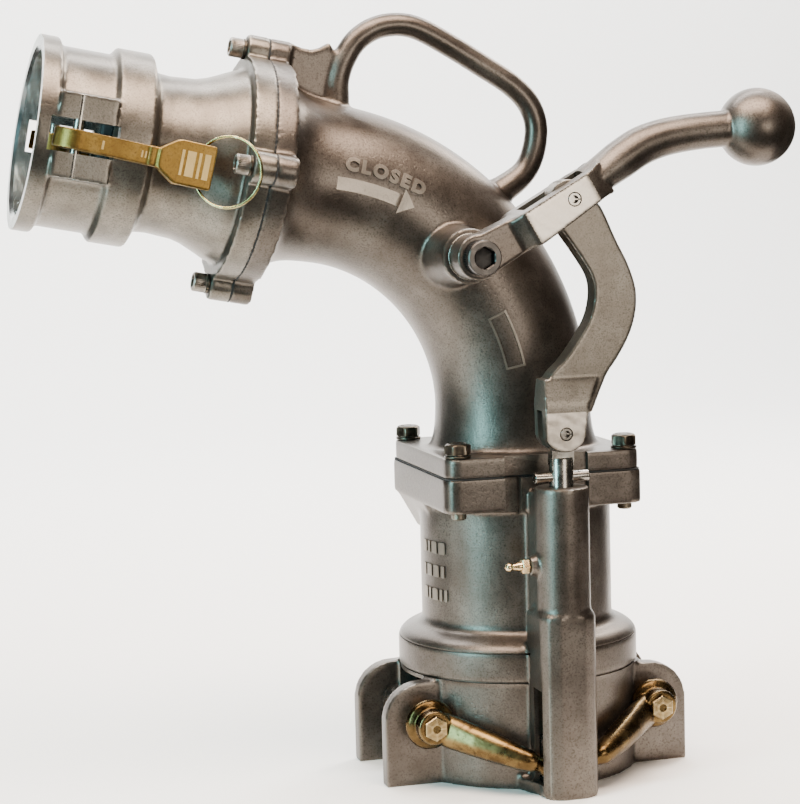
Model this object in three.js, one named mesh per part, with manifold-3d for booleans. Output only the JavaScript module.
// Drop elbow coupling: a lever-latched base coupler, a cast elbow and a cam-and-groove
// hose coupler on its inclined end. Millimetres, +Z up. The base stands on z = 0 and the
// base axis is x = y = 0; the elbow bends towards -X and the lever works in front, at -Y.
import * as THREE from 'three';
import { mergeVertices } from 'three/addons/utils/BufferGeometryUtils.js';
import Module from 'manifold-3d';

const wasm = await Module();
wasm.setup();

// clearances
const gap = 0.3;             // between pieces that sit together
const runGap = 0.4;          // round a piece that turns or slides
const past = 1;              // how far a cut runs past the face it opens

// base body, from the plane that it stands on up to its square flange
const bodyRadius = 73.8;
const bodyBore = 60;
const skirtRadius = 92.6;
const skirtBore = 80;
const skirtTop = 102;        // top of the plain band on the skirt
const bandBottom = 81;       // bottom of that band, where the skirt steps in a little
const bandStep = 1.2;
const seatHeight = 84;       // shoulder that the adapter's nose seals on
const sealInner = 64.4;
const sealOuter = 73.6;
const sealProud = 5;         // how far the nose seal hangs below its seat
const flangeBottom = 208;
const flangeThick = 25;
const flangeHalf = 77.5;     // half the side of the square flange
const flangeCorner = 9;
const boltInset = 11.9;      // from the flange's sides to the bolts
const boltRadius = 5.5;
const boltLength = 46;
const gasketThick = 1;
const plateThick = 14.4;     // the elbow's square plate
const plateInset = 1.5;      // the plate's side is this far inside the flange's
const reliefHalf = 33;       // half width of the flat that clears the rod, in front
const reliefDepth = 6.5;

const flangeTop = flangeBottom + flangeThick;
const plateBottom = flangeTop + gasketThick + 2 * gap;
const plateTop = plateBottom + plateThick;
const boltOffset = flangeHalf - boltInset;

// ears, latch shafts and cranks
const shaftX = 90;
const shaftZ = 49;
const shaftRadius = 7.5;
const earReach = shaftX + 31; // outer x of the ears
const earRound = 29;         // radius of their upper corners
const earFace = 47.3;        // outer y of the ears
const earThick = 14;
const ledgeHigh = 10;
const ballOffset = 14.825;   // from the middle to each crank's ball
const ballDrop = 27.36;      // how far that ball lies below its shaft at rest
const crankBall = 8;
const capHole = 4;           // radius of the crank cap's shank

// operating rod, its boss and housing
const rodY = -108;
const rodRadius = 8.9;
const bossRadius = 20;
const bossTop = flangeTop - 3.5;
const housingTop = 136;
const housingReach = 21.5;
const housingNose = -128;
const rodLift = 40;          // the rod's whole travel
const cavityHalf = 17.6;     // half width of the space that the crosshead slides in
const cavityDeep = 15.5;
const stopPinZ = bossTop + 7;
const stopPinRadius = 4;
const greaseZ = flangeBottom - 36;
const greaseHole = 3.4;
const rodShoulder = plateTop + 2;
const ballZ = shaftZ - ballDrop;
const slotHalf = crankBall + 0.5;
const headTop = ballZ + slotHalf + 12;
const cavityTop = headTop + rodLift + 1.86;
const tongueThick = 9.6;

// elbow
const elbowBore = 50.8;
const elbowRadius = 59.5;
const bendRadius = 178;
const bendStart = plateTop + 29.2;   // height where the bend begins
const outletRun = 60.7;      // straight part from the bend's end to the coupler's flange

// lever and link, all on the plane y = rodY
const pivot = new THREE.Vector2(-62.1, bendStart + 120.6);
const upperPin = new THREE.Vector2(7, bendStart + 159.9);
const lowerPin = new THREE.Vector2(0, rodShoulder + 17.9);
const ballCentre = new THREE.Vector2(157.3, bendStart + 208.7);
const ballRadius = 28.7;
const linkThick = 17.4;
const leverWide = 40;
const clevisWide = 26;
const upperPinRadius = 5;
const lowerPinRadius = 4.75;
const lowerPinWaist = 2.8;   // slim middle of the lower pin, loose in the rod's tongue
const tongueHole = 5.9;
const pivotShank = 6;
const pivotShoulder = 8;

// hose coupler, measured along its axis from the mouth
const tilt = 11.08;          // degrees that the coupler's axis slopes
const mouthBore = 60.5;
const rimRadius = 71.1;
const rimLength = 12.9;
const barrelRadius = 65.6;
const collarStart = 56;
const collarEnd = 80.5;
const neckRadius = 58.3;
const couplerLength = 165.2; // mouth to flange face
const flangeRadius = 83;
const lugThick = 15.4;
const lugCircle = 87.3;      // radius of the four flange screws
const lugRadius = 11.5;
const screwRadius = 4.75;
const camPin = new THREE.Vector2(28.5, -66.5);   // along the axis, and outwards
const camPinRadius = 4;
const armHalf = 7;           // half width of an arm's bar
const armHeadHalf = 15.8;
const armEnd = 124;
const armFace = -86.2;
const armDroop = 2.6;        // degrees that a slack arm hangs down
const armDrop = 2.5;
const ringRadius = 25;
const ringWire = 1.8;
const ringHole = new THREE.Vector2(111.9, -76.2);
const ringTilt = 32;         // degrees that a ring leans out over its screw

const rad = THREE.MathUtils.degToRad;
const Y = new THREE.Vector3(0, 1, 0);
const Z = new THREE.Vector3(0, 0, 1);
const vec = (x, y, z) => new THREE.Vector3(x, y, z);
const vec2 = (x, y) => new THREE.Vector2(x, y);
const aboveBend = pairs => pairs.map(([x, z]) => vec(x, 0, bendStart + z));

// A closed geometry, moved by a matrix, as a solid with its faces turned outwards.
function solid(geometry, matrix) {
  const bare = geometry.clone();
  bare.deleteAttribute('normal');
  bare.deleteAttribute('uv');
  if (matrix) bare.applyMatrix4(matrix);
  const merged = mergeVertices(bare, 1e-4);
  const p = merged.attributes.position.array;
  const at = i => vec(p[3 * i], p[3 * i + 1], p[3 * i + 2]);
  const faces = [];
  let volume = 0;
  for (let i = 0; i < merged.index.count; i += 3) {
    const [a, b, c] = [0, 1, 2].map(k => merged.index.getX(i + k));
    if (a === b || b === c || c === a) continue;
    faces.push([a, b, c]);
    volume += at(a).dot(at(b).cross(at(c)));
  }
  const turned = volume < 0 ? faces.map(([a, b, c]) => [a, c, b]) : faces;
  return new wasm.Manifold(new wasm.Mesh({
    numProp: 3, vertProperties: new Float32Array(p), triVerts: new Uint32Array(turned.flat()),
  }));
}

const join = (...solids) => solids.reduce((a, b) => a.add(b));
const cut = (first, ...tools) => tools.reduce((a, b) => a.subtract(b), first);
const shift = (x, y, z) => new THREE.Matrix4().makeTranslation(x, y, z);

// profile of [radius, height] pairs turned about +Z, or about +Y or +X when asked
function turned(profile, segments = 32, matrix) {
  const points = profile.map(([r, h]) => new THREE.Vector2(r, h));
  return solid(new THREE.LatheGeometry(points, segments).rotateX(Math.PI / 2), matrix);
}
const aboutX = new THREE.Matrix4().makeRotationY(Math.PI / 2);
const aboutY = new THREE.Matrix4().makeRotationX(-Math.PI / 2);
const ring = (inner, outer, low, high) =>
  [[inner, low], [outer, low], [outer, high], [inner, high], [inner, low]];
const disc = (radius, low, high) => [[0, low], [radius, low], [radius, high], [0, high]];

function block(x0, x1, y0, y1, z0, z1, matrix) {
  const box = new THREE.BoxGeometry(x1 - x0, y1 - y0, z1 - z0);
  box.translate((x0 + x1) / 2, (y0 + y1) / 2, (z0 + z1) / 2);
  return solid(box, matrix);
}

// cylinder along Y at (x, z), along X at (y, z), or along Z at (x, y)
const rodAlongY = (x, z, radius, y0, y1, segments = 24) =>
  turned(disc(radius, y0, y1), segments, shift(x, 0, z).multiply(aboutY));
const rodAlongX = (y, z, radius, x0, x1, segments = 16) =>
  turned(disc(radius, x0, x1), segments, shift(0, y, z).multiply(aboutX));
const rodAlongZ = (x, y, radius, z0, z1, segments = 20) =>
  turned(disc(radius, z0, z1), segments, shift(x, y, 0));

// outline in x and z pushed through from y0 to y1
function slabXZ(shape, y0, y1, matrix, curveSegments = 6) {
  const geometry = new THREE.ExtrudeGeometry(shape,
    { depth: y1 - y0, bevelEnabled: false, curveSegments });
  geometry.rotateX(Math.PI / 2).translate(0, y1, 0);
  return solid(geometry, matrix);
}
// outline in x and y pushed up from z0 to z1
function slabXY(shape, z0, z1, matrix, curveSegments = 3) {
  const geometry = new THREE.ExtrudeGeometry(shape,
    { depth: z1 - z0, bevelEnabled: false, curveSegments });
  return solid(geometry.translate(0, 0, z0), matrix);
}
const ordered = (a, b) => (a < b ? [a, b] : [b, a]);
const outline = pairs => new THREE.Shape(pairs.map(([a, b]) => new THREE.Vector2(a, b)));

function roundedRect(x0, x1, y0, y1, r) {
  const shape = new THREE.Shape();
  shape.moveTo(x0 + r, y0).lineTo(x1 - r, y0).absarc(x1 - r, y0 + r, r, -Math.PI / 2, 0);
  shape.lineTo(x1, y1 - r).absarc(x1 - r, y1 - r, r, 0, Math.PI / 2);
  shape.lineTo(x0 + r, y1).absarc(x0 + r, y1 - r, r, Math.PI / 2, Math.PI);
  shape.lineTo(x0, y0 + r).absarc(x0 + r, y0 + r, r, Math.PI, Math.PI * 1.5);
  return shape;
}

// Skin over rows of points, each row one closed section, with flat ends.
function loft(rows) {
  const n = rows[0].length;
  const points = rows.flat();
  const faces = [];
  for (let i = 0; i + 1 < rows.length; i++) {
    for (let j = 0; j < n; j++) {
      const [a, b] = [i * n + j, i * n + (j + 1) % n];
      faces.push(a, b, b + n, a, b + n, a + n);
    }
  }
  for (const [row, flip] of [[0, true], [rows.length - 1, false]]) {
    const centre = rows[row].reduce((s, p) => s.add(p), vec(0, 0, 0)).divideScalar(n);
    points.push(centre);
    for (let j = 0; j < n; j++) {
      const pair = [row * n + j, row * n + (j + 1) % n];
      faces.push(...(flip ? pair.reverse() : pair), points.length - 1);
    }
  }
  const geometry = new THREE.BufferGeometry().setFromPoints(points);
  geometry.setIndex(faces);
  return solid(geometry);
}

// Bar through centres that all lie near one plane. Each station is {p, high, wide}: its centre,
// half its height in that plane and half its width across it.
function bar(stations, normal, sides = 16) {
  const middle = stations.map(s => s.p);
  const rows = stations.map((s, i) => {
    const before = middle[Math.max(i - 1, 0)], after = middle[Math.min(i + 1, middle.length - 1)];
    const along = after.clone().sub(before).normalize();
    const up = new THREE.Vector3().crossVectors(normal, along).normalize();
    const across = new THREE.Vector3().crossVectors(along, up);
    return Array.from({ length: sides }, (_, j) => {
      const a = (j + 0.5) / sides * Math.PI * 2;
      return s.p.clone().addScaledVector(up, s.high * Math.sin(a))
        .addScaledVector(across, s.wide * Math.cos(a));
    });
  });
  return loft(rows);
}

// Points of a smooth curve through the given ones, with radii eased along it.
function smoothStations(points, radii, count) {
  const curve = new THREE.CatmullRomCurve3(points, false, 'centripetal');
  return Array.from({ length: count + 1 }, (_, i) => {
    const t = i / count, f = t * (radii.length - 1), k = Math.min(Math.floor(f), radii.length - 2);
    const mix = (a, b) => a + (b - a) * (f - k);
    const [h0, w0] = radii[k], [h1, w1] = radii[k + 1];
    return { p: curve.getPoint(t), high: mix(h0, h1), wide: mix(w0, w1) };
  });
}

const finishes = {
  castAluminium: { color: 0x8a8178, roughness: 0.5, metalness: 0.85 },
  brass: { color: 0xb08d3c, roughness: 0.42, metalness: 0.9 },
  goldZinc: { color: 0xb5912f, roughness: 0.28, metalness: 1 },
  goldChromate: { color: 0x7d6230, roughness: 0.32, metalness: 1 },
  steel: { color: 0xb9bcbd, roughness: 0.25, metalness: 1 },
  darkSteel: { color: 0x4c4640, roughness: 0.45, metalness: 0.9 },
  blackSteel: { color: 0x141415, roughness: 0.4, metalness: 0.7 },
  rubber: { color: 0x141414, roughness: 0.9, metalness: 0 },
};

// Points on the bend's centre line, or at another radius, by degrees round from its start.
const bendAngle = 90 - tilt;
const bendPoint = (angle, radius = bendRadius) => vec(
  -bendRadius + radius * Math.cos(rad(angle)), 0, bendStart + radius * Math.sin(rad(angle)));
const outward = vec(-Math.cos(rad(tilt)), 0, Math.sin(rad(tilt)));
const mouth = bendPoint(bendAngle).addScaledVector(outward, outletRun + couplerLength);

const coupling = new THREE.Group();
const hose = new THREE.Group();          // x along the coupler's axis, z square to it
hose.position.copy(mouth);
hose.rotation.y = rad(tilt);
coupling.add(hose);
const hoseFrame = new THREE.Matrix4().makeRotationY(rad(tilt)).setPosition(mouth);

function place(name, body, finish, position = [0, 0, 0], parent = coupling, rotation = [0, 0, 0]) {
  const { vertProperties, triVerts } = body.getMesh();
  const geometry = new THREE.BufferGeometry();
  geometry.setAttribute('position', new THREE.BufferAttribute(new Float32Array(vertProperties), 3));
  geometry.setIndex(new THREE.BufferAttribute(new Uint32Array(triVerts), 1));
  geometry.computeVertexNormals();
  const mesh = new THREE.Mesh(geometry, new THREE.MeshStandardMaterial(finishes[finish]));
  mesh.name = name;
  mesh.position.set(...position);
  mesh.rotation.set(...rotation);
  parent.add(mesh);
  return mesh;
}

const corners = [[-1, -1], [1, -1], [1, 1], [-1, 1]];
const boltHoles = (radius, low, high) => corners.map(([i, j]) =>
  turned(disc(radius, low, high), 12, shift(i * boltOffset, j * boltOffset, 0)));

// ---- base body ----

function skirt() {
  const low = skirtRadius - bandStep, top = flangeBottom + past;
  return turned([[0, 0], [low, 0], [low, bandBottom], [skirtRadius, bandBottom + 0.4],
    [skirtRadius, skirtTop], [skirtRadius - 1.5, skirtTop + 3.4], [skirtRadius - 5, skirtTop + 6.6],
    [skirtRadius - 10, skirtTop + 9], [bodyRadius + 3, skirtTop + 11],
    [bodyRadius, skirtTop + 14], [bodyRadius, top], [0, top]], 40);
}

function ear(sideX, sideY) {
  const root = 55;             // inside the skirt's wall
  const roundX = earReach - earRound;
  const shape = new THREE.Shape();
  shape.moveTo(sideX * earReach, 0).lineTo(sideX * root, 0);
  shape.lineTo(sideX * root, shaftZ + earRound + 2).lineTo(sideX * roundX, shaftZ + earRound);
  const steps = 6;
  for (let i = 1; i <= steps; i++) {
    const a = Math.PI / 2 * (1 - i / steps);
    shape.lineTo(sideX * (roundX + earRound * Math.cos(a)), shaftZ + earRound * Math.sin(a));
  }
  return slabXZ(shape, ...ordered(sideY * (earFace - earThick), sideY * earFace));
}

// flat shelf at the foot, from ear to ear and out to the rod's housing
function ledge() {
  const inner = -35;
  return slabXY(outline([[-earReach, -earFace], [-80, -earFace], [-54, -65], [-31, -86], [-20, -112],
    [20, -112], [37, -79], [60, -61], [80, -earFace], [earReach, -earFace], [earReach, inner],
    [70, inner], [70, 0], [-70, 0], [-70, inner], [-earReach, inner]]), 0, ledgeHigh);
}

const greaseY = rodY + 2;
function rodBoss() {
  const nose = housingNose, half = housingReach;
  const housing = outline([[-half, -84], [-half, -117], [-half + 4, -124], [-half + 12, nose],
    [half - 12, nose], [half - 4, -124], [half, -117], [half, -84]]);
  return join(
    turned(disc(bossRadius, housingTop - 76, bossTop), 28, shift(0, rodY, 0)),
    slabXY(housing, 0, housingTop),
    block(-15, 15, rodY, -60, 0, bossTop - 6),
    rodAlongX(greaseY, greaseZ, 7.5, -bossRadius - 5.5, 0, 14),
  );
}

// room for the rod, the crosshead, the cranks that reach it and the grease fitting
function rodSpaces() {
  return [
    turned(disc(rodRadius + gap, 40, bossTop + 5), 20, shift(0, rodY, 0)),
    block(-cavityHalf, cavityHalf, rodY - cavityDeep, rodY + cavityDeep, -past, cavityTop),
    block(-30, 30, rodY - 9, rodY + 9, ballZ - 12.64, ballZ + rodLift + 18.36),
    rodAlongX(greaseY, greaseZ, greaseHole, -bossRadius - 6, -9, 10),
  ];
}

function lowerBody() {
  const square = slabXY(roundedRect(-flangeHalf, flangeHalf, -flangeHalf, flangeHalf, flangeCorner),
    flangeBottom, flangeTop);
  const braceTop = flangeBottom + past;
  const brace = slabXZ(outline([[-flangeHalf, braceTop], [-60, flangeBottom - 30], [-60, braceTop]]),
    -12, 60);
  let body = join(skirt(), ledge(), rodBoss(), square, brace,
    ear(-1, -1), ear(1, -1), ear(-1, 1), ear(1, 1));
  body = cut(body,
    turned([[0, -past], [skirtBore + 1, -past], [skirtBore, 2], [skirtBore, seatHeight],
      [bodyBore, seatHeight], [bodyBore, flangeTop + past], [0, flangeTop + past]], 32),
    turned(ring(sealInner - runGap, sealOuter + runGap, seatHeight - past, seatHeight + 4), 32),
    ...boltHoles(boltRadius + gap, flangeBottom - 40, flangeTop + past),
    ...rodSpaces());
  for (const side of [-1, 1]) {
    const relief = ordered(side * (bossRadius + 0.5), side * reliefHalf);
    const pocket = ordered(side * (shaftX - 24), side * (shaftX + 22));
    body = cut(body,
      block(...relief, -flangeHalf - past, reliefDepth - flangeHalf, flangeBottom - past, flangeTop + past),
      block(...pocket, -31.5, 31.5, shaftZ - 27, shaftZ + 28),
      rodAlongY(side * shaftX, shaftZ, shaftRadius + gap, -60, 60, 16));
  }
  return body;
}

place('lower_body', lowerBody(), 'castAluminium');
place('nose_seal', turned(ring(sealInner, sealOuter, seatHeight - sealProud, seatHeight + 3.6), 32),
  'rubber');

// ---- flange joint under the elbow ----

function squareGasket() {
  const half = flangeHalf - 1, low = -past, high = gasketThick + past;
  const sheet = slabXY(roundedRect(-half, half, -half, half, flangeCorner), 0, gasketThick);
  return cut(sheet, turned(disc(bodyBore, low, high), 28), ...boltHoles(boltRadius + 1, low, high),
    block(-reliefHalf - 0.5, reliefHalf + 0.5, -flangeHalf, reliefDepth + 0.5 - flangeHalf, low, high));
}
place('flange_gasket', squareGasket(), 'rubber', [0, 0, flangeTop + gap]);

function hexBolt() {
  const wide = boltRadius + 3.7, foot = 3, top = 11;
  const head = turned([[0, foot], [wide - 0.6, foot], [wide, foot + 0.6], [wide, top - 1.2],
    [wide - 1.6, top], [0, top]], 6);
  const face = turned(disc(boltRadius + 2.5, foot - 0.6, foot + 0.2), 18);
  return join(head, face, turned([[0, -boltLength], [boltRadius - 1, -boltLength],
    [boltRadius, 1 - boltLength], [boltRadius, foot], [0, foot]], 12));
}
function springWasher(inner, outer, thick) {
  const split = new THREE.Matrix4().makeRotationZ(rad(35));
  return cut(turned(ring(inner, outer, 0, thick), 18),
    block(inner - 2, outer + 2, -0.6, 0.6, -past, thick + past, split));
}
corners.forEach(([i, j], k) => {
  const spot = [i * boltOffset, j * boltOffset, plateTop];
  place(`base_bolt_${k + 1}`, hexBolt(), 'darkSteel', spot, coupling, [0, 0, k * 0.4]);
  place(`base_washer_${k + 1}`, springWasher(boltRadius + gap, boltRadius + 4.3, 2.1 - gap), 'darkSteel',
    [spot[0], spot[1], plateTop + gap], coupling, [0, 0, k * 1.3]);
});

// ---- elbow ----

// Centres along the elbow from the height "from" to "short" of the coupler's flange, with the
// tube's radius at each: the elbow's own, plus what it spreads by at its foot and its flange.
const bendSteps = 10;
const straightParts = [0.3, 0.55, 0.8, 1];
function elbowStations(radius, foot, bell, from, short) {
  const last = bendPoint(bendAngle);
  const spots = [vec(0, 0, from), vec(0, 0, plateTop + 7), vec(0, 0, plateTop + 15)];
  for (let i = 0; i <= bendSteps; i++) spots.push(bendPoint(bendAngle * i / bendSteps));
  for (const part of straightParts) {
    spots.push(last.clone().addScaledVector(outward, (outletRun - short) * part));
  }
  const plain = Array(spots.length - foot.length - bell.length).fill(0);
  return [...foot, ...plain, ...bell].map((spread, i) =>
    ({ p: spots[i], high: radius + spread, wide: radius + spread }));
}
function elbowTube() {
  const foot = [7.5, 4.7, 2.3, 0.8];
  const bell = [0.5, 3.5, 8.5, 22];
  return bar(elbowStations(elbowRadius, foot, bell, plateTop - 4, 12), Y, 28);
}
function elbowHollow() {
  return bar(elbowStations(elbowBore, [], [], flangeTop - 3, -4), Y, 24);
}

// Carrying handle cast on the back of the bend, and the web to the top lug.
function grabHandle() {
  const line = aboveBend([[-136, 221.8], [-134, 237.8], [-132.5, 251.8], [-127, 266.8],
    [-117, 280.8], [-102, 289.8], [-84, 292.3], [-67, 288.3], [-42, 274.8], [-19, 260.8],
    [3, 246.8], [17, 232.8], [23.5, 215.8], [21.5, 196.8], [14, 180.8], [-1, 168.8], [-19, 159.8]]);
  const grip = 8.9;
  const sizes = Array(9).fill([grip, grip]);
  sizes[0] = sizes[8] = [grip + 0.9, grip + 2.1];
  return bar(smoothStations(line, sizes, 18), Y, 10);
}
function handleWeb() {
  const edge = aboveBend([[-178, 277.8], [-166, 278.3], [-160, 275.8], [-153, 274.2], [-146, 275.4],
    [-138, 279.8], [-132, 261.8], [-134, 227.8], [-150, 221.8], [-176, 221.8], [-184, 251.8]]);
  return slabXZ(outline(edge.map(p => [p.x, p.z])), -5, 5);
}

const leverBossEnd = 96.5;
function leverBoss() {
  return turned([[0, -44], [25.5, -44], [22.5, -66], [20.5, -80], [20.5, 1 - leverBossEnd],
    [19.5, -leverBossEnd], [0, -leverBossEnd]], 24, shift(pivot.x, 0, pivot.y).multiply(aboutY));
}

// Round flange with four lugs, along the coupler's axis from one face to the other.
function lugFlange(from, to) {
  const parts = [turned(disc(flangeRadius, from, to), 32, aboutX)];
  for (let k = 0; k < 4; k++) {
    const turn = new THREE.Matrix4().makeRotationX(k * Math.PI / 2);
    const out = turn.clone().multiply(shift(0, 0, lugCircle)).multiply(aboutX);
    parts.push(turned(disc(lugRadius, from, to), 12, out));
    parts.push(block(from, to, -lugRadius, lugRadius, 70, lugCircle, turn));
  }
  return join(...parts);
}
function screwHoles(radius, from, to) {
  return Array.from({ length: 4 }, (_, k) => turned(disc(radius, from, to), 10,
    new THREE.Matrix4().makeRotationX(k * Math.PI / 2).multiply(shift(0, 0, lugCircle)).multiply(aboutX)));
}
const moved = (body, matrix) => {
  const { vertProperties, triVerts } = body.getMesh();
  const geometry = new THREE.BufferGeometry();
  geometry.setAttribute('position', new THREE.BufferAttribute(new Float32Array(vertProperties), 3));
  geometry.setIndex(new THREE.BufferAttribute(new Uint32Array(triVerts), 1));
  return solid(geometry, matrix);
};
const jointFace = couplerLength + gasketThick + 2 * gap;

function elbow() {
  const half = flangeHalf - plateInset;
  const plate = slabXY(roundedRect(-half, half, -half, half, flangeCorner), plateBottom, plateTop);
  const flange = moved(lugFlange(jointFace, jointFace + lugThick), hoseFrame);
  const body = join(plate, elbowTube(), flange, grabHandle(), handleWeb(), leverBoss());
  const holes = screwHoles(screwRadius + gap + 0.05, jointFace - 5, jointFace + lugThick + 2);
  return cut(body, elbowHollow(), ...boltHoles(boltRadius + gap, flangeTop - 5, plateTop + 20),
    moved(join(...holes), hoseFrame),
    block(-reliefHalf, reliefHalf, -flangeHalf - past, reliefDepth - 1 - flangeHalf,
      flangeTop, plateTop + 2),
    rodAlongY(pivot.x, pivot.y, pivotShank + gap, -leverBossEnd - past, -60, 12));
}
place('elbow', elbow(), 'castAluminium');

// ---- hose coupler ----

const grooveStart = 62;      // the mouth gasket's groove
const grooveEnd = 70;
function couplerShell() {
  return turned([[0, 0], [rimRadius - 1, 0], [rimRadius, 1], [rimRadius, rimLength],
    [barrelRadius, rimLength + 3], [barrelRadius, collarStart - 4.5], [rimRadius, collarStart],
    [rimRadius, collarEnd],
    [neckRadius, collarEnd + 5.6], [neckRadius - 0.5, collarEnd + 16.5],
    [neckRadius + 1, couplerLength - 49.2], [neckRadius + 5.7, couplerLength - 35.2],
    [neckRadius + 11.7, couplerLength - 22.8], [neckRadius + 13.7, couplerLength - 15],
    [0, couplerLength - 15]], 40, aboutX);
}
function armPad(side) {
  return block(13, 54, ...ordered(side * 52, side * (rimRadius - 0.5)), -30, 30);
}
function couplerBody() {
  let body = join(couplerShell(), lugFlange(couplerLength - lugThick, couplerLength),
    armPad(-1), armPad(1));
  const end = couplerLength + past, groove = mouthBore + 3.5;
  body = cut(body,
    turned([[0, -past], [mouthBore + 2.5, -past], [mouthBore, 2.5], [mouthBore, grooveStart],
      [groove, grooveStart], [groove, grooveEnd], [elbowBore, grooveEnd], [elbowBore, end], [0, end]],
    32, aboutX),
    ...screwHoles(screwRadius + gap + 0.15, couplerLength - 30, end));
  for (const side of [-1, 1]) {
    body = cut(body, block(8.5, 57.5, ...ordered(side * 40, side * 90), -12, 12),
      rodAlongZ(camPin.x, -side * camPin.y, camPinRadius + gap, -40, 40, 12));
  }
  return body;
}
place('coupler_body', couplerBody(), 'castAluminium', [0, 0, 0], hose);
place('mouth_gasket', turned(ring(elbowBore + 1.7, mouthBore + 3, grooveStart + runGap, grooveEnd - runGap),
  32, aboutX), 'rubber', [0, 0, 0], hose);

function roundGasket() {
  const low = couplerLength + gap, high = low + gasketThick;
  return cut(lugFlange(low, high), turned(disc(elbowBore, low - past, high + past), 24, aboutX),
    ...screwHoles(screwRadius + 0.65, low - past, high + past));
}
place('neck_gasket', roundGasket(), 'rubber', [0, 0, 0], hose);

// Socket cap screw lying along +X, its head's underside at x = 0.
function capScrew(headRadius, headLength, shankRadius, shankLength, socket) {
  const body = turned([[0, -headLength], [headRadius - 0.8, -headLength], [headRadius, -headLength + 0.8],
    [headRadius, 0], [shankRadius, 0], [shankRadius, shankLength - 1], [shankRadius - 1, shankLength],
    [0, shankLength]], 14, aboutX);
  return cut(body, turned(disc(socket, -headLength - 1, -headLength * 0.42), 6, aboutX));
}
for (let k = 0; k < 4; k++) {
  const turn = k * Math.PI / 2, washerThick = 2.1, face = couplerLength - lugThick;
  const spot = x => [x, -lugCircle * Math.sin(turn), lugCircle * Math.cos(turn)];
  place(`neck_screw_${k + 1}`, capScrew(screwRadius + 2.45, 9.6, screwRadius, 30, 4.2), 'darkSteel',
    spot(face - washerThick - 2 * gap), hose, [k * 0.7, 0, 0]);
  const washer = moved(springWasher(screwRadius + gap, screwRadius + 2.85, washerThick), aboutX);
  place(`neck_washer_${k + 1}`, washer, 'darkSteel', spot(face - washerThick - gap), hose, [k * 1.1, 0, 0]);
}

// ---- cam arms, their pins and rings: made for the front, mirrored for the back ----

function camArm() {
  const half = armHalf, top = armHeadHalf, c = camPin, eyeX = ringHole.x;
  const headStart = 84, neckEnd = 102, slope = [[headStart + 6, top - 5], [headStart + 13, top]];
  const side = join(
    rodAlongZ(c.x, c.y + 3.5, 12, -half, half),
    cut(rodAlongZ(c.x, c.y, 17, -half, half), block(0, 60, c.y + 2.5, c.y + 30, -10, 10)),
    block(c.x, armEnd - 2, -83.5, -73.2, -half, half));
  const upper = [[headStart, half], ...slope];
  const mirrored = points => points.map(([x, z]) => [x, -z]).reverse();
  const headEnd = [[armEnd - 2.5, top], [armEnd, top - 2.5]];
  const plate = slabXZ(outline([...upper, ...headEnd, ...mirrored([...upper, ...headEnd])]),
    armFace, armFace + 2.6);
  const endWall = block(armEnd - 3.2, armEnd, armFace, -75, -top + 2.5, top - 2.5);
  const eye = block(eyeX - 7.4, eyeX + 7.6, armFace + 1.7, -71, -5, 5);
  const neck = [[headStart - 4, half], ...upper, [neckEnd, top]];
  const shoulder = slabXZ(outline([...neck, ...mirrored(neck)]), armFace + 1.7, -76.5);
  const [reliefStart, reliefEnd] = [neckEnd + 1, armEnd - 3.2];
  return cut(join(side, plate, endWall, eye, shoulder),
    block(reliefStart, reliefEnd, armFace + 2.6, -70, 5, 20),
    block(reliefStart, reliefEnd, armFace + 2.6, -70, -20, -5),
    block(eyeX - 5.9, eyeX + 6.1, -79.4, -73.2, -12, 12),
    rodAlongZ(c.x, c.y, camPinRadius + 0.8, -20, 20, 14));
}
function camPinBody() {
  const half = 29.6, edge = 0.6;
  return turned([[0, -half], [camPinRadius - edge, -half], [camPinRadius, edge - half],
    [camPinRadius, half - edge], [camPinRadius - edge, half], [0, half]], 12, shift(camPin.x, camPin.y, 0));
}
const armHang = shift(camPin.x, 0, -armDrop).multiply(new THREE.Matrix4().makeRotationY(rad(armDroop)))
  .multiply(shift(-camPin.x, 0, 0));
function pullRing() {
  const torus = new THREE.TorusGeometry(ringRadius, ringWire, 6, 24);
  torus.rotateX(Math.PI / 2).translate(ringRadius, 0, 0);
  const lean = shift(ringHole.x, ringHole.y, 0)
    .multiply(new THREE.Matrix4().makeRotationZ(rad(-ringTilt)));
  return solid(torus, armHang.clone().multiply(lean));
}
const flipY = new THREE.Matrix4().makeScale(1, -1, 1);
for (const [side, matrix] of [['front', new THREE.Matrix4()], ['rear', flipY]]) {
  place(`cam_arm_${side}`, moved(moved(camArm(), armHang), matrix), 'brass', [0, 0, 0], hose);
  place(`cam_pin_${side}`, moved(camPinBody(), matrix), 'steel', [0, 0, 0], hose);
  place(`pull_ring_${side}`, moved(pullRing(), matrix), 'goldZinc', [0, 0, 0], hose);
}

// ---- lever, built along its own line from the pivot: x along, z square to it ----

const leverAngle = Math.atan2(upperPin.y - pivot.y, upperPin.x - pivot.x);
const leverFrame = shift(pivot.x, rodY, pivot.y).multiply(new THREE.Matrix4().makeRotationY(-leverAngle));
const pinAlong = pivot.distanceTo(upperPin);

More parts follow.
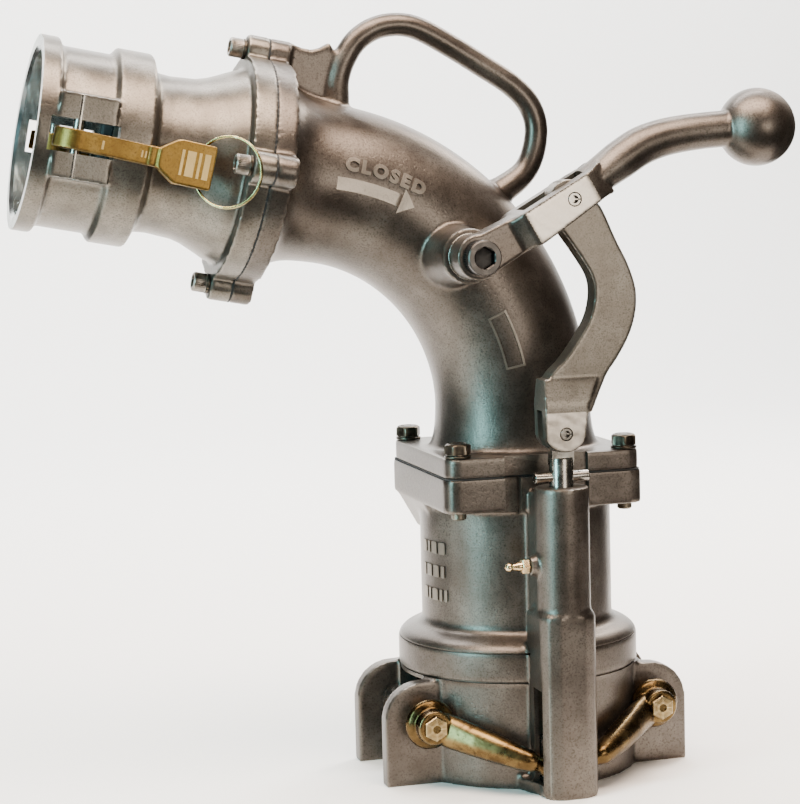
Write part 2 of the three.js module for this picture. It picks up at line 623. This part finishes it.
// Flat cheeks either side of the link, a narrow strap to the eye, all on the lever's own line.
function leverBody() {
  const half = leverWide / 2, slot = linkThick / 2 + runGap;
  const side = slabXZ(outline([[26, 8], [40, 11.2], [103, 11.2], [112, 13], [112, -13], [101, -11.4],
    [44, -15.5], [26, -13]]), -half, half);
  const plan = slabXY(outline([[24, -11.5], [31, -11.5], [41, -half], [97, -half], [111, -14],
    [111, 14], [97, half], [36, half], [29, 9], [24, 9]]), -20, 20);
  const cheeks = cut(side.intersect(plan), block(46, 97, -slot, slot, -30, 30),
    rodAlongY(pinAlong, 0, upperPinRadius + gap, -30, 30, 14));
  const eye = turned(disc(16.5, -11.5, 9), 24, aboutY);
  const strap = slabXZ(outline([[0, 14.5], [38, 11], [38, -15], [0, -15.5]]), -11.5, 9);
  const hollow = rodAlongY(0, 0, pivotShoulder + runGap, -20, 20, 16);
  return moved(join(cut(join(eye, strap), hollow), cheeks), leverFrame);
}
function leverShank() {
  const slot = linkThick / 2 + runGap;
  const line = aboveBend([[16, 166.3], [30, 174.3], [49, 186.8], [65, 196.3], [81, 201.8], [97, 204.8],
    [113, 206.6], [130, 207.8], [150, 208.7]]).map(p => p.setY(rodY));
  const sizes = [[11, 17], [12.5, 16.5], [14.3, 15.5], [14.3, 14.6], [13.9, 14], [13.6, 13.6],
    [13.4, 13.4], [13.4, 13.4], [14, 14]];
  const shank = bar(smoothStations(line, sizes, 10), Y, 14);
  return cut(shank, moved(block(30, 98, -slot, slot, -40, 40), leverFrame));
}
function leverBall() {
  const ball = new THREE.SphereGeometry(ballRadius, 20, 12);
  return solid(ball.rotateX(Math.PI / 2), shift(ballCentre.x, rodY, ballCentre.y));
}
place('lever', join(leverBody(), leverShank(), leverBall()), 'castAluminium');

// Shoulder screw that the lever turns on, its thread in the elbow's boss.
function pivotScrew() {
  const seat = leverBossEnd + gap, neck = 119.9, top = 131.3, head = 12.7;
  const body = turned([[0, -62], [pivotShank - 0.6, -62], [pivotShank, -63], [pivotShank, -seat],
    [pivotShoulder, -seat], [pivotShoulder, -neck], [head, -neck], [head, 1.1 - top],
    [head - 1.1, -top], [0, -top]], 24, aboutY);
  return cut(body, turned(disc(7, -top - past, -125), 6, aboutY));
}
place('lever_pivot_screw', pivotScrew(), 'blackSteel', [pivot.x, 0, pivot.y]);
place('pivot_washer', turned(ring(pivotShoulder + runGap, 17, -98.7, -leverBossEnd - gap), 24, aboutY),
  'steel', [pivot.x, 0, pivot.y]);

// Roll pin along Y with sunk ends; the middle may be slimmer.
function crossPin(radius, half, slim, slimHalf) {
  const body = turned([[0, -half], [radius - 0.5, -half], [radius, 0.5 - half], [radius, -slimHalf],
    [slim, -slimHalf], [slim, slimHalf], [radius, slimHalf], [radius, half - 0.5], [radius - 0.5, half],
    [0, half]], 14, aboutY);
  return cut(body, rodAlongY(0, 0, radius * 0.55, -half - 1, -half + 4, 8),
    rodAlongY(0, 0, radius * 0.55, half - 4, half + 1, 8));
}
const sunk = 0.2;            // how far the pins stop inside the faces
place('link_pin_upper', crossPin(upperPinRadius, leverWide / 2 - sunk, upperPinRadius, 3), 'steel',
  [upperPin.x, rodY, upperPin.y]);
place('link_pin_lower', crossPin(lowerPinRadius, clevisWide / 2 - sunk, lowerPinWaist,
  tongueThick / 2 + 0.8), 'steel', [lowerPin.x, rodY, lowerPin.y]);

// ---- link: a bowed bar with an eye on top and a fork below, drawn from the lower pin ----

function linkBar() {
  const [a, b] = [upperPin, lowerPin];
  const right = [[20, 174.2], [27, 168.1], [33, 160.1], [42.5, 139.1], [52, 120.1], [57.5, 101.7],
    [56.5, 84.1], [51, 68.1], [42, 53.1], [34, 42.1], [28, 29.1], [22, 15.1]];
  const left = [[-15.5, 17.1], [-15, 31.1], [-9, 43.1], [2, 54.1], [14, 69.9], [22, 84.1], [25.4, 99.1],
    [24, 112.1], [16, 126.1], [4, 143.1], [-5, 155.1], [-7, 165.2]];
  const smooth = pairs => new THREE.SplineCurve(pairs.map(([x, z]) => vec2(b.x + x, b.y + z))).getPoints(15);
  const eyeTop = Array.from({ length: 7 }, (_, i) => {
    const t = rad(200 - 180 * (i + 0.5) / 7);
    return vec2(a.x + 14.2 * Math.cos(t), a.y + 14.2 * Math.sin(t));
  });
  const shape = new THREE.Shape([...smooth(right), vec2(b.x + 15, b.y + 12), vec2(b.x - 15, b.y + 12),
    ...smooth(left), ...eyeTop]);
  return slabXZ(shape, -linkThick / 2, linkThick / 2, shift(0, rodY, 0));
}
function linkFork() {
  const b = lowerPin, half = clevisWide / 2;
  const foot = [];
  for (let i = 0; i <= 10; i++) {
    const t = rad(180 + 180 * i / 10);
    foot.push([b.x + 15.2 * Math.cos(t), b.y + 13.5 * Math.sin(t)]);
  }
  const side = outline([...foot, [b.x + 18, b.y + 20], [b.x + 24, b.y + 34], [b.x + 26, b.y + 40],
    [b.x - 15, b.y + 40], [b.x - 16, b.y + 20]]);
  const waist = linkThick / 2 + 0.3;
  const plan = outline([[-half, b.y - 20], [half, b.y - 20], [half, b.y + 22], [waist, b.y + 40],
    [-waist, b.y + 40], [-half, b.y + 22]]);
  const across = new THREE.ExtrudeGeometry(plan, { depth: 80, bevelEnabled: false });
  const turn = new THREE.Matrix4().makeBasis(Y, Z, vec(1, 0, 0)).setPosition(-40, rodY, 0);
  return slabXZ(side, -half, half, shift(0, rodY, 0)).intersect(solid(across, turn));
}
const acrossRod = [rodY - 30, rodY + 30];
function link() {
  const slot = tongueThick / 2 + 0.5;
  return cut(join(linkBar(), linkFork()),
    block(-40, 40, rodY - slot, rodY + slot, lowerPin.y - 30, lowerPin.y + 17),
    rodAlongY(upperPin.x, upperPin.y, upperPinRadius + runGap, ...acrossRod, 14),
    rodAlongY(lowerPin.x, lowerPin.y, lowerPinRadius + gap, ...acrossRod, 14));
}
place('link', link(), 'castAluminium');

// ---- operating rod, its stop pin and the crosshead that lifts both cranks ----

const headPinZ = headTop - 5.5;
const headPinRadius = 2.5;

function operatingRod() {
  const foot = ballZ + slotHalf + 0.6, half = 8.4;
  const shaft = turned([[0, foot], [rodRadius - 1, foot], [rodRadius, foot + 1],
    [rodRadius, rodShoulder - 1.5], [rodRadius - 1.5, rodShoulder], [0, rodShoulder]], 20,
  shift(0, rodY, 0));
  const side = new THREE.Shape();
  side.moveTo(-half, rodShoulder - 6).lineTo(half, rodShoulder - 6).lineTo(half, lowerPin.y);
  side.absarc(0, lowerPin.y, half, 0, Math.PI);
  const tongue = slabXZ(side, -tongueThick / 2, tongueThick / 2, shift(0, rodY, 0));
  return cut(join(shaft, tongue), rodAlongY(0, lowerPin.y, tongueHole, ...acrossRod, 14),
    rodAlongX(rodY, stopPinZ, stopPinRadius + gap, -30, 30, 12),
    rodAlongY(0, headPinZ, headPinRadius + gap, ...acrossRod, 10));
}
place('operating_rod', operatingRod(), 'steel');
const stopHalf = 20.8;
place('rod_stop_pin', turned([[0, -stopHalf], [stopPinRadius - 0.6, -stopHalf],
  [stopPinRadius, 0.6 - stopHalf], [stopPinRadius, stopHalf - 0.6], [stopPinRadius - 0.6, stopHalf],
  [0, stopHalf]], 12, aboutX), 'steel', [0, rodY, stopPinZ]);

function crosshead() {
  const half = cavityHalf - 2 * runGap, deep = cavityDeep - 0.9, slotDeep = crankBall + 1.2;
  const body = block(-half, half, rodY - deep, rodY + deep, ballZ - slotHalf - 7.1, headTop);
  return cut(body, block(-30, 30, rodY - slotDeep, rodY + slotDeep, ballZ - slotHalf, ballZ + slotHalf),
    turned(disc(rodRadius + gap, ballZ, headTop + 5), 20, shift(0, rodY, 0)),
    rodAlongY(0, headPinZ, headPinRadius + gap, ...acrossRod, 10));
}
place('crosshead', crosshead(), 'steel');
place('crosshead_pin', turned(disc(headPinRadius, -14, 14), 10, aboutY), 'steel', [0, rodY, headPinZ]);

// nipple, hexagon and shank, measured from the end of its boss
function greaseFitting() {
  const hex = turned([[0, -6], [4.9, -6], [5.5, -5.4], [5.5, -0.7], [4.9, -gap], [0, -gap]], 6, aboutX);
  const nipple = turned([[0, -18.1], [1.8, -18.1], [3.3, -16.3], [3.3, -14.5], [2.3, -13.1], [2.6, -10.5],
    [3.4, -9], [3.4, -5.5], [0, -5.5]], 12, aboutX);
  return join(hex, nipple, turned(disc(greaseHole - gap, -0.5, 13.5), 10, aboutX));
}
place('grease_fitting', greaseFitting(), 'brass', [-bossRadius - 5.5, greaseY, greaseZ]);

// ---- latch shafts: crank in front, cam between the ears, collar behind ----

// Crank for the left side: domed hub, eye, and a bent arm ending in a ball.
const hubFoot = earFace + 0.6;
const shaftEnd = 66;         // front end of the latch shafts
function crankArm() {
  const down = Math.atan2(ballDrop, shaftX - ballOffset);
  const end = Math.hypot(ballDrop, shaftX - ballOffset);
  const bends = [[0, -66], [8.5, -66], [18, -72.5], [31, -83], [end - 34, -94], [end - 22, -102.5],
    [end - 14, -107], [end - 8.5, rodY], [end - 5, rodY], [end - 1.5, rodY]];
  const line = bends.map(([along, y]) => vec(along * Math.cos(down), y, -along * Math.sin(down)));
  const sizes = [[11, 7], [12, 7], [12.2, 8.4], [11.4, 9.6], [10.2, 9.6], [9, 8.8], [8, 8], [5.8, 5.8],
    [5.6, 5.6], [5.6, 5.6]];
  const ball = new THREE.SphereGeometry(crankBall, 10, 6).rotateX(Math.PI / 2);
  return join(bar(smoothStations(line, sizes, 12), Y, 10),
    solid(ball, shift(end * Math.cos(down), rodY, -end * Math.sin(down))));
}
function crank() {
  const hub = turned([[0, -66], [9, -66], [14.5, -64.6], [17.8, -62.2], [19.3, -59.2], [18, -57.4],
    [14, -51.8], [11.4, -hubFoot], [0, -hubFoot]], 24, aboutY);
  const eye = turned([[0, -74.3], [11.8, -74.3], [13, -73], [13, -60], [0, -60]], 18, aboutY);
  return cut(join(hub, eye, crankArm()),
    rodAlongY(0, 0, shaftRadius + gap, -shaftEnd - runGap, -40, 16),
    rodAlongY(0, 0, capHole + gap, -84, -40, 10));
}
function latchShaft() {
  const body = turned([[0, -shaftEnd], [shaftRadius - 0.8, -shaftEnd], [shaftRadius, 0.8 - shaftEnd],
    [shaftRadius, 56], [shaftRadius - 1, 57], [0, 57]], 16, aboutY);
  return cut(body, rodAlongY(0, 0, capHole + gap, -70, -50, 10));
}
function crankCap() {
  const seat = 74.7, top = 77.4, head = capHole + 4.2;
  return cut(turned([[0, -52], [capHole, -52], [capHole, -seat], [head, -seat], [head, 0.8 - top],
    [head - 0.8, -top], [0, -top]], 16, aboutY), turned([[0, -78.4], [2.2, -78.4], [0, -75.4]], 8, aboutY));
}
// Cam with its nose inwards and slightly up, so that lifting the crank turns it clear.
function latchCam() {
  const points = Array.from({ length: 24 }, (_, i) => {
    const a = rad(i * 15), lean = Math.max(0, Math.cos(a - rad(12)));
    const reach = shaftRadius + 5 + 10 * lean ** 6;
    return [reach * Math.cos(a), reach * Math.sin(a)];
  });
  return cut(slabXZ(outline(points), -29.5, 29.5), rodAlongY(0, 0, shaftRadius + gap, -40, 40, 16));
}
const collarRing = () =>
  turned(ring(shaftRadius + gap, shaftRadius + 3.9, hubFoot, hubFoot + 8), 20, aboutY);
const flipX = new THREE.Matrix4().makeScale(-1, 1, 1);
for (const [side, sign, matrix] of [['left', -1, new THREE.Matrix4()], ['right', 1, flipX]]) {
  const spot = [sign * shaftX, 0, shaftZ];
  place(`crank_${side}`, moved(crank(), matrix), 'goldChromate', spot);
  place(`crank_cap_${side}`, crankCap(), 'goldChromate', spot);
  place(`latch_shaft_${side}`, latchShaft(), 'steel', spot);
  place(`latch_cam_${side}`, moved(latchCam(), matrix), 'steel', spot);
  place(`shaft_collar_${side}`, collarRing(), 'steel', spot);
}

export default coupling;
